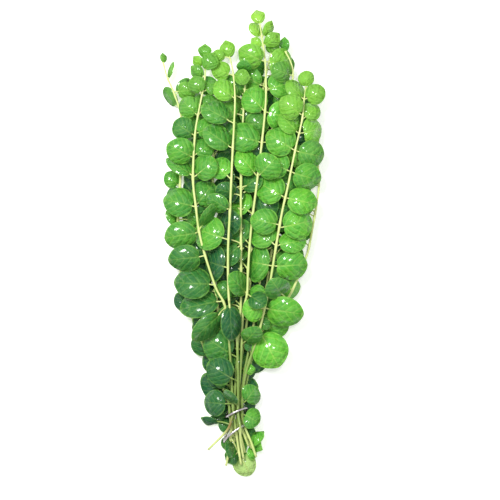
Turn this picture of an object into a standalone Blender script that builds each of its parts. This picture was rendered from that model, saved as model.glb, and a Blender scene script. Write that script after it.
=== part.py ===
"""A bunch of pennywort lying on a table: leafy creeping sprigs tied with two turns of thin wire.

Stations of stems and leaves are counted in squares of a measuring grid, x to the right and y from
the tips down to the cut ends. Heights above the table are in millimetres."""

import math
import random

import bmesh
import bpy
from mathutils import Matrix, Vector
from mathutils.bvhtree import BVHTree

MM = 0.001
SQUARE = 0.541 * MM
MIDDLE_X = 240.2
MIDDLE_Y = 243

STEM_RADIUS = 0.75 * MM
STEM_TIP_SHARE = 0.6
STEM_TAPER = 110
STALK_HALF = 0.42 * MM
BLADE_THICK = 0.8 * MM
BLADE_SIDES = 7
BLADE_SPREAD = 1.04
BACK_SIDES = 6
BLADE_DOME = 0.12
TILTED_SHARE = 0.35
CLEAR = 0.32 * MM
WIRE_RADIUS = 0.45 * MM
LEAST_STALK = 1.2 * MM
LEAD_SHARE = 0.25
LONGEST_LEAD = 1.2 * MM
SMALL_LEAF = 14
SIZE_GAIN = 1.09
LEAST_TRUE = 0.5
SEED = 11

# Each sprig: stations of its stem from cut end to tip (x, y, height), then its leaves, each as
# (y of its joint, x and y of its middle, size across its midrib, size along it).
SPRIGS = {
    "sprig_centre_left": {
        "stem": [(243.5, 459, 3), (240.5, 440, 8.4), (240.3, 427, 11.2), (238.6, 418, 10),
                 (238, 409, 8.9), (238, 385, 9.4), (236.5, 335, 12), (229.5, 305, 14.5),
                 (228, 255, 16), (230, 210, 16.5), (232, 165, 16.5), (234, 125, 15.5),
                 (235, 98, 14), (233, 72, 11), (230, 58, 9)],
        "leaves": [(57, 219, 56, 10, 10), (58, 229, 54, 12, 12), (76, 221, 71, 18, 17),
                   (76, 240, 77, 12, 12), (99, 224, 91, 20, 21), (124, 215, 114, 22, 27),
                   (149, 217, 138, 22, 29), (180, 221, 169, 22, 20), (210, 219, 203, 17, 22),
                   (240, 211, 234, 32, 28), (268, 217, 264, 34, 17), (299, 230.5, 323, 18, 32), (358, 219, 346, 31, 27),
                   (382, 220, 371, 26, 26), (408, 231, 396, 11, 24)],
    },
    "sprig_right_front": {
        "stem": [(256, 457, 4), (251, 442, 6.2), (244, 425, 6.4), (242, 410, 7.1), (244, 382, 8),
                 (249, 362, 9), (255, 345, 9.5), (260, 328, 10), (269, 288, 12.5),
                 (276, 246, 15), (282, 212, 16), (287, 190, 16), (295, 151, 15.5), (302, 120, 14),
                 (304, 100, 12), (306, 87, 10)],
        "leaves": [(90, 306, 79, 15, 15), (100, 296, 92, 16, 21), (100, 314, 95, 19, 19),
                   (116, 291, 107, 23, 23), (120, 311, 112, 18, 16), (134, 289, 124, 19, 23),
                   (134, 311, 131, 24, 20), (151, 284, 144, 28, 27), (151, 309, 154, 27, 23),
                   (172, 283, 168, 25, 23), (172, 305, 176, 27, 25), (198, 271, 190, 28, 27),
                   (198, 299, 201, 25, 27), (225, 266, 222, 24, 25), (228, 297, 224, 29, 28),
                   (246, 264, 236, 26, 24), (246, 292, 243, 20, 25), (266, 263, 264, 35, 19),
                   (266, 291, 265, 27, 29), (290, 261, 294, 20, 17), (288, 287, 287, 24, 23),
                   (308, 284, 311, 27, 34), (308, 253, 310, 22, 17), (330, 270, 350, 34, 34),
                   (362, 250, 369, 8, 8), (405, 250, 394, 26, 17), (414, 249.5, 418, 22, 12)],
    },
    "sprig_centre": {
        "stem": [(248.5, 446, 4.4), (244.5, 436, 6.4), (239.5, 424, 7.1), (238, 410, 7.1),
                 (241, 360, 8.5), (243, 313, 10), (247, 294, 11), (248, 270, 11.8), (251, 230, 12.5),
                 (256, 190, 13), (261, 150, 13), (265, 112, 13), (266, 88, 12.5), (265, 60, 11),
                 (262, 38, 9.5), (260, 25, 9)],
        "leaves": [(25, 259, 21, 11, 10), (38, 256, 31, 11, 15), (38, 267, 29, 8, 12),
                   (46, 271, 40, 11, 13), (48, 257, 43, 8, 9), (62, 252, 56, 23, 24),
                   (62, 277, 62, 26, 24), (88, 250, 78, 23, 25), (90, 276, 87, 25, 22),
                   (112, 256, 102, 25, 24), (112, 277, 115, 26, 22), (143, 248, 139, 27, 29),
                   (143, 274, 141, 26, 22), (177, 246, 163, 21, 26), (177, 268, 166, 27, 21),
                   (215, 242, 205, 25, 18), (245, 239, 232, 26, 23), (270, 239, 258, 19, 11),
                   (294, 237, 284, 21, 26), (294, 258, 301, 22, 20), (345, 252, 334, 19, 22)],
    },
    "sprig_left_front": {
        "stem": [(208, 450, 2), (222, 436, 7), (228.5, 428, 8.9), (231.5, 419, 9.1),
                 (233, 410, 8.9), (231.5, 380, 9.6), (229, 340, 10.5), (225, 306, 11.5),
                 (216, 288, 12), (205, 255, 12.5), (199, 231, 12.8), (196, 207, 13),
                 (193, 178, 13), (195, 136, 12.5), (198, 116, 12), (202, 95, 11), (205, 77, 9.5),
                 (205, 62, 8.5)],
        "leaves": [(62, 205, 52, 10, 10), (66, 199, 61, 8, 9), (70, 208, 65, 13, 13),
                   (78, 198, 72, 10, 11), (95, 197, 85, 16, 16), (92, 212, 88, 15, 14),
                   (116, 190, 108, 20, 19), (116, 209, 103, 15, 15), (136, 186, 130, 21, 21),
                   (134, 206, 129, 20, 18), (158, 181, 151, 25, 25), (156, 204, 149, 20, 19),
                   (176, 180, 168, 14, 27), (178, 206, 168, 23, 24), (207, 179, 203, 27, 28),
                   (206, 205, 194, 25, 23), (232, 181, 235, 26, 29), (231, 207, 215, 12, 26),
                   (256, 185, 258, 25, 29), (285, 193, 284, 30, 34), (301, 200, 306, 24, 36),
                   (308, 206, 326, 20, 34), (404, 216, 403, 25, 19)],
    },
    "sprig_far_left": {
        "stem": [(226, 466, 2.5), (229.5, 448, 4.5), (231, 430, 6.6), (230, 417, 7.1),
                 (228, 400, 7), (220, 382, 6.5), (211, 361, 6), (203, 345, 6), (194, 322, 5.5),
                 (187, 300, 5), (181, 275, 5), (178, 240, 5), (178, 215, 5), (180, 187, 5.5),
                 (181, 150, 6), (181, 116, 6.5), (175, 96, 6.5), (171, 86, 6.5), (167, 77, 6.5),
                 (163, 62, 6.5)],
        "leaves": [(64, 163, 59, 5, 7), (80, 171, 71, 5, 15), (109, 171, 96, 10, 20),
                   (96, 183, 86, 12, 17), (118, 191, 96, 14, 19), (187, 174, 192, 10, 14),
                   (228, 172, 219, 9, 17), (250, 190, 240, 24, 24), (312, 183, 302, 17, 19),
                   (358, 203, 344, 22, 22), (322, 205, 312, 24, 25), (403, 214, 387, 25, 34),
                   (436, 229, 449, 9, 20), (425, 210, 420, 6, 12)],
    },
    "sprig_right_edge": {
        "stem": [(252, 449, 1.8), (246, 438, 3.4), (241.5, 425, 4.9), (241.5, 410, 4.9),
                 (247, 380, 5.5), (254, 350, 6), (261, 332, 6), (272, 316, 6.5), (288, 298, 7),
                 (297, 280, 7.5), (305, 260, 8), (309, 247, 8), (314.5, 217, 8.5),
                 (319, 186, 8.5), (318, 165, 8.5), (317, 143, 8.5)],
        "leaves": [(148, 312, 139, 14, 16), (166, 305, 160, 22, 22), (186, 301, 184, 24, 23),
                   (217, 301, 208, 26, 24), (247, 298, 233, 25, 24), (268, 290, 256, 26, 24),
                   (300, 276, 286, 24, 24), (358, 249, 346, 18, 18)],
    },
    "sprig_behind_centre": {
        "stem": [(241, 465, 2.4), (238, 445, 4.4), (235.5, 428, 6.4), (234, 410, 7.1),
                 (236.5, 370, 8), (239, 330, 8.5), (241, 300, 9), (241, 245, 9.5),
                 (241, 180, 9.5), (243, 120, 9), (246, 72, 8)],
        "leaves": [(74, 245, 66, 11, 13), (96, 236, 86, 19, 22), (126, 250, 116, 22, 22),
                   (150, 228, 152, 26, 26), (186, 228, 190, 26, 26), (190, 252, 182, 22, 22),
                   (245, 231, 254, 24, 24), (306, 228, 292, 24, 24), (372, 226, 362, 20, 22)],
    },
    "sprig_behind_right": {
        "stem": [(245, 453, 2), (241, 437, 3.8), (237.5, 426, 4.8), (238, 410, 4.9),
                 (245, 370, 5.5), (256, 310, 6), (263, 250, 6.5), (264, 208, 7),
                 (267, 170, 7), (272, 130, 7), (277, 108, 7)],
        "leaves": [(112, 282, 100, 16, 18), (132, 284, 124, 22, 22), (160, 256, 154, 26, 26),
                   (175, 284, 184, 26, 26), (208, 250, 216, 26, 26), (212, 280, 218, 26, 26),
                   (256, 280, 250, 26, 26), (262, 248, 262, 24, 26), (316, 264, 324, 16, 18)],
    },
    "sprig_behind_left": {
        "stem": [(233, 437, 3.8), (232.5, 430, 4.4), (234, 410, 4.9), (229, 375, 5.5),
                 (221, 330, 6), (214, 275, 6.5), (213, 220, 6.5), (213, 170, 6.5),
                 (214, 130, 6.5), (217, 90, 6)],
        "leaves": [(94, 211, 88, 17, 18), (112, 228, 106, 24, 24), (130, 199, 127, 22, 22),
                   (158, 229, 133, 26, 27), (172, 198, 178, 26, 26), (200, 229, 176, 26, 28),
                   (215, 196, 214, 26, 26), (226, 230, 222, 26, 26), (250, 198, 250, 28, 28),
                   (282, 228, 270, 26, 28), (300, 204, 293, 26, 26), (340, 238, 334, 22, 22),
                   (432, 226, 427, 12, 22)],
    },
    "sprig_small_leaf": {
        "stem": [(239, 448, 1.7), (237.2, 430, 2.6), (238.2, 410, 2.7), (247, 370, 3.6),
                 (262, 310, 4.2), (272, 250, 4.4), (279, 190, 4.6), (285, 140, 5.2), (290, 100, 6),
                 (293, 76, 7), (291, 63, 7.5), (285, 51, 7.5)],
        "leaves": [(54, 285.5, 45, 8, 10), (76, 285, 73, 18, 21), (150, 299, 136, 22, 22),
                   (150, 270, 140, 26, 26), (196, 293, 204, 28, 28), (240, 258, 232, 28, 28),
                   (262, 290, 238, 26, 28), (290, 280, 284, 26, 26), (310, 248, 298, 28, 28),
                   (352, 240, 365, 20, 22)],
    },
    "sprig_behind_tallest": {
        "stem": [(234.6, 442, 2.5), (233.6, 430, 2.6), (234.2, 410, 2.7), (240, 370, 3.6),
                 (248, 310, 4.2), (252, 250, 4.4), (256, 190, 4.8), (259, 120, 6), (265, 80, 7),
                 (271, 54, 7.5)],
        "leaves": [(56, 273, 47, 14, 14), (86, 281, 96, 18, 22),
                   (152, 262, 178, 26, 28), (186, 238, 196, 28, 28), (225, 266, 206, 24, 26),
                   (250, 236, 240, 28, 28), (290, 234, 284, 28, 28), (320, 228, 318, 28, 28)],
    },
}
CUT_END_LEAF = ("sprig_far_left", 438, 244.5, 464.5, 22, 22)
CRUMPLED_LEAF = ("sprig_right_front", 447, 256.5, 442, 8, 13)

FRONT = ("sprig_centre_left", "sprig_right_front", "sprig_centre", "sprig_left_front",
         "sprig_far_left")

# The wire: two turns, each crossing over the stems up to the right.
WIRE_START = -0.22
WIRE_END = 1.86
WIRE_STEPS = 30


def spot(x, y, height=0.0):
    return Vector(((x - MIDDLE_X) * SQUARE, (MIDDLE_Y - y) * SQUARE, height * MM))


def smooth_line(stations, parts):
    """An even line through the stations, with so many parts between two of them."""
    marks = [spot(*station) for station in stations]
    marks = [2 * marks[0] - marks[1]] + marks + [2 * marks[-1] - marks[-2]]
    line = []
    for a, b, c, d in zip(marks, marks[1:], marks[2:], marks[3:]):
        for k in range(parts):
            t = k / parts
            line.append(0.5 * (2 * b + (c - a) * t + (2 * a - 5 * b + 4 * c - d) * t * t
                               + (3 * b - a - 3 * c + d) * t ** 3))
    return line + [marks[-2]]


def stem_share(line, place):
    """How thick the stem is at a place, as a share of its full thickness."""
    from_tip = (line[-1] - place).length / SQUARE
    return STEM_TIP_SHARE + (1 - STEM_TIP_SHARE) * min(1.0, from_tip / STEM_TAPER)


def tube(name, line, radius, shares, roundness):
    curve = bpy.data.curves.new(name, "CURVE")
    curve.dimensions = "3D"
    curve.bevel_depth = radius
    curve.bevel_resolution = roundness
    curve.use_fill_caps = True
    spline = curve.splines.new("POLY")
    spline.points.add(len(line) - 1)
    for point, place, share in zip(spline.points, line, shares):
        point.co = (*place, 1)
        point.radius = share
    holder = bpy.data.objects.new(name, curve)
    bpy.context.scene.collection.objects.link(holder)
    depsgraph = bpy.context.evaluated_depsgraph_get()
    mesh = bpy.data.meshes.new_from_object(holder.evaluated_get(depsgraph))
    bpy.data.objects.remove(holder)
    mesh.name = name
    return mesh


def joint_at(line, y):
    """The place on a stem at a grid line, and the stem's direction there."""
    level = (MIDDLE_Y - y) * SQUARE
    for low, high in zip(line, line[1:]):
        if min(low.y, high.y) <= level <= max(low.y, high.y):
            share = (level - low.y) / (high.y - low.y)
            return low.lerp(high, share), (high - low).normalized()
    return line[-1].copy(), (line[-1] - line[-2]).normalized()


class Leaf:
    """One leaf: where it joins its stem, where its middle lies and how it is tilted."""

    def __init__(self, line, row, front, dice):
        joint_y, x, y, across, along = row
        self.front = front and max(across, along) > SMALL_LEAF
        self.sides = BLADE_SIDES if front else BACK_SIDES
        self.start = 0 if front else math.pi / BACK_SIDES
        self.joint, _ = joint_at(line, joint_y)
        self.share = stem_share(line, self.joint)
        flat = spot(x, y) - self.joint
        flat.z = 0
        self.way = flat.normalized()
        self.side = Vector((-self.way.y, self.way.x, 0))
        self.reach = flat.length
        gain = SIZE_GAIN if max(across, along) > SMALL_LEAF else 1
        across *= SQUARE * gain
        along *= SQUARE * gain
        size = max(across, along)
        self.across = across * (size / across) ** TILTED_SHARE
        self.along = along * (size / along) ** TILTED_SHARE
        self.roll = math.acos(min(1.0, across / self.across)) * dice.choice((-1, 1))
        self.pitch = -math.acos(min(1.0, along / self.along))
        self.roll += math.radians(dice.uniform(-7, 7))
        self.pitch += math.radians(dice.uniform(-9, 3))
        self.dome = BLADE_DOME * dice.uniform(0.5, 1.4)
        self.drop = math.radians(dice.uniform(-24, -6))
        self.shrink = 1.0

    def lay(self, lift=0.0, pitch=0.0, roll=0.0):
        """Fix the blade's middle and its three directions."""
        pitch += self.pitch
        roll += self.roll
        rise = self.drop + lift
        self.long = self.way * math.cos(pitch) + Vector((0, 0, math.sin(pitch)))
        up = self.long.cross(self.side)
        self.wide = self.side * math.cos(roll) + up * math.sin(roll)
        self.up = self.long.cross(self.wide)
        half = self.along * self.shrink / 2
        stalk = max(self.reach - half * math.cos(pitch), LEAST_STALK)
        self.base = self.joint + self.way * stalk + Vector((0, 0, stalk * math.tan(rise)))
        self.stalk = (self.base - self.joint).normalized()
        self.stalk_up = self.stalk.cross(self.side)
        self.middle = self.base + self.long * half + self.up * self.sag(-1, 0)

    def sag(self, s, t):
        """How far the blade falls below its middle, towards the rim."""
        return self.dome * self.across * self.shrink * (s * s + t * t) / 2

    def place(self, s, t, depth):
        """A point of the blade: s along and t across it from -1 to 1, depth below its face."""
        return (self.middle + self.long * (s * self.along * self.shrink / 2)
                + self.wide * (t * self.across * self.shrink / 2)
                - self.up * (self.sag(s, t) + depth))


def square_end(face, centre, wide, up, half):
    middle = face.calc_center_median()
    for vert in face.verts:
        away = vert.co - middle
        vert.co = (centre + wide * math.copysign(half, away.dot(wide))
                   + up * math.copysign(half, away.dot(up)))


def add_leaf(bm, leaf, extra=0.0, with_stalk=True):
    """A closed leaf with its stalk, thicker by extra all round when it is only a trial."""
    grow = BLADE_SPREAD + 2 * extra / (leaf.across * leaf.shrink)
    ring = bmesh.ops.create_circle(bm, cap_ends=True, segments=leaf.sides, radius=grow,
                                   matrix=Matrix.Rotation(leaf.start, 4, "Z"))["verts"]
    face = ring[0].link_faces[0]
    lower = bmesh.ops.extrude_face_region(bm, geom=[face], use_keep_orig=True)["geom"]
    lower = [item for item in lower if isinstance(item, bmesh.types.BMVert)]
    upper = list(ring) + bmesh.ops.poke(bm, faces=[face])["verts"]
    base = min((f for v in ring for f in v.link_faces if len(f.verts) == 4),
               key=lambda f: f.calc_center_median().y)
    for verts, depth in ((upper, -extra), (lower, BLADE_THICK + extra)):
        for vert in verts:
            vert.co = leaf.place(vert.co.y, vert.co.x, depth)
    if not with_stalk:
        return
    half = STALK_HALF * leaf.share + extra
    end = bmesh.ops.extrude_discrete_faces(bm, faces=[base])["faces"][0]
    if leaf.front:
        lead = min(LEAD_SHARE * (leaf.base - leaf.joint).length, LONGEST_LEAD)
        under = leaf.up * (BLADE_THICK / 2)
        square_end(end, leaf.base - under - leaf.stalk * lead, leaf.wide, leaf.up, half)
        end = bmesh.ops.extrude_discrete_faces(bm, faces=[end])["faces"][0]
    square_end(end, leaf.joint, leaf.side, leaf.stalk_up, half)


def leaf_mesh(leaves, extra=0.0, with_stalk=True):
    bm = bmesh.new()
    for leaf in leaves:
        add_leaf(bm, leaf, extra, with_stalk)
    bmesh.ops.recalc_face_normals(bm, faces=bm.faces)
    bmesh.ops.triangulate(bm, faces=bm.faces)
    return bm


def tree_of(bm):
    return BVHTree.FromBMesh(bm)


def mesh_tree(mesh):
    bm = bmesh.new()
    bm.from_mesh(mesh)
    tree = tree_of(bm)
    bm.free()
    return tree


def tilts():
    """Ways to turn a leaf from how it wants to lie, the smallest turns first."""
    turns = [(lift, pitch, roll)
             for lift in range(-56, 72, 8)
             for pitch in range(-32, 56, 8)
             for roll in range(-32, 40, 8)]
    turns.sort(key=lambda turn: (abs(turn[0]) * 0.35 + abs(turn[1]) + abs(turn[2]), turn))
    return [tuple(math.radians(angle) for angle in turn) for turn in turns]


def settle(leaf, others, own, turns):
    """Turn the leaf until it clears everything in its way; False if it never does."""
    for shrink in (1.0, 0.85, 0.7, 0.55):
        leaf.shrink = shrink
        for turn in turns:
            leaf.lay(*turn)
            if leaf.up.dot(leaf.stalk_up) < LEAST_TRUE:
                continue
            bm = leaf_mesh([leaf], CLEAR)
            low = min(vert.co.z for vert in bm.verts)
            trial = tree_of(bm)
            bm.free()
            if low < CLEAR / 2 or any(trial.overlap(other) for other in others):
                continue
            bm = leaf_mesh([leaf], CLEAR / 2, False)
            blade = tree_of(bm)
            bm.free()
            if not any(blade.overlap(other) for other in own):
                return True
    return False


def wire_line():
    line = []
    for step in range(WIRE_STEPS + 1):
        turn = WIRE_START + (WIRE_END - WIRE_START) * step / WIRE_STEPS
        angle = 2 * math.pi * turn
        half_wide = 9.7 + 2.3 * turn
        half_high = 5.4 - 0.8 * turn
        line.append(spot(236 - half_wide * math.cos(angle),
                         409 + 20 * turn
                         + (8 + 5 * turn) * (1 - 2 * abs(math.sin(angle / 2)) ** 1.3),
                         half_high + 0.62 + half_high * math.sin(angle)))
    return line


def finish(name, mesh, material, collection):
    bm = bmesh.new()
    bm.from_mesh(mesh)
    bmesh.ops.remove_doubles(bm, verts=bm.verts, dist=0.01 * MM)
    bmesh.ops.dissolve_degenerate(bm, edges=bm.edges, dist=0.01 * MM)
    loose = [edge for edge in bm.edges if not edge.link_faces]
    bmesh.ops.delete(bm, geom=loose, context="EDGES")
    bmesh.ops.recalc_face_normals(bm, faces=bm.faces)
    bm.to_mesh(mesh)
    bm.free()
    for face in mesh.polygons:
        face.use_smooth = True
    mesh.materials.clear()
    mesh.materials.append(material)
    piece = bpy.data.objects.new(name, mesh)
    collection.objects.link(piece)
    return piece


def united(name, stem, leaves):
    """The stem and its leaves as one closed body."""
    host = bpy.data.objects.new(name, stem)
    tool_mesh = bpy.data.meshes.new(name + "_leaves")
    bm = leaf_mesh(leaves)
    bm.to_mesh(tool_mesh)
    bm.free()
    tool = bpy.data.objects.new(name + "_leaves", tool_mesh)
    for item in (host, tool):
        bpy.context.scene.collection.objects.link(item)
    join = host.modifiers.new("grown_together", "BOOLEAN")
    join.operation = "UNION"
    join.solver = "EXACT"
    join.use_self = True
    join.object = tool
    depsgraph = bpy.context.evaluated_depsgraph_get()
    mesh = bpy.data.meshes.new_from_object(host.evaluated_get(depsgraph))
    for item in (host, tool):
        bpy.data.objects.remove(item)
    mesh.name = name
    return mesh


def material(name, colour, roughness, metallic):
    made = bpy.data.materials.new(name)
    made.use_nodes = True
    shader = made.node_tree.nodes["Principled BSDF"]
    shader.inputs["Base Color"].default_value = (*colour, 1)
    shader.inputs["Roughness"].default_value = roughness
    shader.inputs["Metallic"].default_value = metallic
    return made


def main():
    for item in list(bpy.data.objects):
        bpy.data.objects.remove(item)
    collection = bpy.data.collections.new("pennywort_bunch")
    bpy.context.scene.collection.children.link(collection)

    turns = tilts()
    lines = {name: smooth_line(sprig["stem"], 1) for name, sprig in SPRIGS.items()}
    stems = {}
    for name, line in lines.items():
        shares = [stem_share(line, place) for place in line]
        stems[name] = tube(name, line, STEM_RADIUS, shares, 1)
    wire = tube("tie_wire", wire_line(), WIRE_RADIUS, [1] * (WIRE_STEPS + 1), 1)
    wire_tree = mesh_tree(wire)
    stem_trees = {name: mesh_tree(mesh) for name, mesh in stems.items()}

    grown = {name: [] for name in SPRIGS}
    blocks = {name: [] for name in SPRIGS}
    blades = {name: [stem_trees[name]] for name in SPRIGS}
    rows = [(name, row, False) for name in SPRIGS for row in SPRIGS[name]["leaves"]]
    rows.insert(0, (CUT_END_LEAF[0], CUT_END_LEAF[1:], True))
    rows.insert(1, (CRUMPLED_LEAF[0], CRUMPLED_LEAF[1:], False))
    for name, row, on_table in rows:
        leaf = Leaf(lines[name], row, name in FRONT, random.Random(f"{SEED} {name} {row}"))
        others = [wire_tree]
        others += [tree for other, tree in stem_trees.items() if other != name]
        others += [tree for other in blocks if other != name for tree in blocks[other]]
        if on_table:
            leaf.dome = 0
            leaf.pitch = 0
            leaf.roll = 0
            fall = leaf.joint.z - BLADE_THICK
            leaf.drop = -math.atan(fall / (leaf.reach - leaf.along / 2))
            leaf.lay()
            fits = True
        else:
            fits = settle(leaf, others, blades[name], turns)
        if fits:
            grown[name].append(leaf)
            bm = leaf_mesh([leaf])
            blocks[name].append(tree_of(bm))
            bm.free()
            bm = leaf_mesh([leaf], 0, False)
            blades[name].append(tree_of(bm))
            bm.free()
        else:
            print("no room for a leaf of", name, row)

    greens = {}
    for name, sprig in SPRIGS.items():
        green = random.Random(name).uniform(0.27, 0.36)
        greens[name] = material(name + "_green", (green * 0.45, green, 0.05), 0.45, 0)
        finish(name, united(name, stems[name], grown[name]), greens[name], collection)
    finish("tie_wire", wire, material("bright_wire", (0.62, 0.6, 0.58), 0.3, 1), collection)


main()
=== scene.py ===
"""The looks of a tied bunch of pennywort: sprigs with fine leaves, the tie wire and a pale floor."""

import math
import random

import bmesh
import bpy
from mathutils import Matrix, Vector
from mathutils.bvhtree import BVHTree


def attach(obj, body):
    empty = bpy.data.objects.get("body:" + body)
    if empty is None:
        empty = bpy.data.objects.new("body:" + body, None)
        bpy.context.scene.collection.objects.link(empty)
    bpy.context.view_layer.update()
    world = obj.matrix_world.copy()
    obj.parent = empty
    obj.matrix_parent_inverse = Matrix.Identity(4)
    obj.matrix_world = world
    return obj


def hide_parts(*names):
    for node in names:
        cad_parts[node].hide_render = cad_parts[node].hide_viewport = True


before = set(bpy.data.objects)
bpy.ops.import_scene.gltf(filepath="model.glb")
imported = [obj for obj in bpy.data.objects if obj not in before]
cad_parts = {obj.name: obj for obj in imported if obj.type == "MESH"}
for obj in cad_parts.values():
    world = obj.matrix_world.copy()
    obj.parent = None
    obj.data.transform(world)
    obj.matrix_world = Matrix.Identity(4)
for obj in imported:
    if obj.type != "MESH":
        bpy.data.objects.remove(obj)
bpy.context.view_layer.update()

MM = 0.001
# Places count the squares of a fine grid over the photo, and this is the real size of one square.
SQUARE = 0.541 * MM
MIDDLE_X = 240.2
MIDDLE_Y = 243

STEM_RADIUS = 0.75 * MM
STEM_TIP_SHARE = 0.6
STEM_TAPER = 110
STALK_HALF = 0.42 * MM
BLADE_THICK = 0.8 * MM
BLADE_SIDES = 7
BLADE_SPREAD = 1.04
BACK_SIDES = 6
BLADE_DOME = 0.12
TILTED_SHARE = 0.35
CLEAR = 0.32 * MM
WIRE_RADIUS = 0.45 * MM
LEAST_STALK = 1.2 * MM
LEAD_SHARE = 0.25
LONGEST_LEAD = 1.2 * MM
SMALL_LEAF = 14
SIZE_GAIN = 1.09
# How a leaf's tilt, dome and stalk play, in degrees and shares.
ROLL_PLAY = (-7, 7)
PITCH_PLAY = (-9, 3)
DOME_PLAY = (0.5, 1.4)
STALK_DROP = (-24, -6)
# The ways to turn a leaf that are tried, in degrees, and the shares of its size.
LIFTS = range(-56, 72, 8)
PITCHES = range(-32, 56, 8)
ROLLS = range(-32, 40, 8)
LIFT_COST = 0.35
SHRINKS = (1.0, 0.85, 0.7, 0.55)
# How nearly a blade has to face the way that the top of its stalk does, as a cosine.
LEAST_FACING = 0.5
SEED = 11

UP = Vector((0, 0, 1))

# The fine stems and stalks.
FINE_PARTS = 5
STEM_SIDES = 10
STALK_SIDES = 6
KNOT_SWELL = 0.3
KNOT_REACH = 1.3 * MM
FINE_STEM = 0.88
STALK_PARTS = 6
STALK_RINGS = (1.3, 1.1, 1, 1, 1, 1, 1, 0.9, 0.7, 0.35)
STALK_BOW = 0.4
STALK_FORWARD = 0.12
STALK_STRAIGHT = 0.2
# Where along the blade its midrib has its rings, from -1 at the base to 1 at the tip.
MIDRIB_START = (-0.97, -0.8, -0.4)
MIDRIB_END = 0.1
MIDRIB_END_ON_TABLE = 0.8

# The fine blades.
RIM_SIDES = 32
RINGS = 6
RIM_BAND = 0.03
LEAF_THICK = 0.32 * MM
SIDE_VEINS = 2.3
VEIN_LEAN = 0.75
VEIN_ARCH = 0.25
QUILT = 0.011
GROOVE = 0.018
GROOVE_HALF = 0.13
POINT_HALF = 0.3
NOTCH = 0.12
NOTCH_HALF = 0.2

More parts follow.
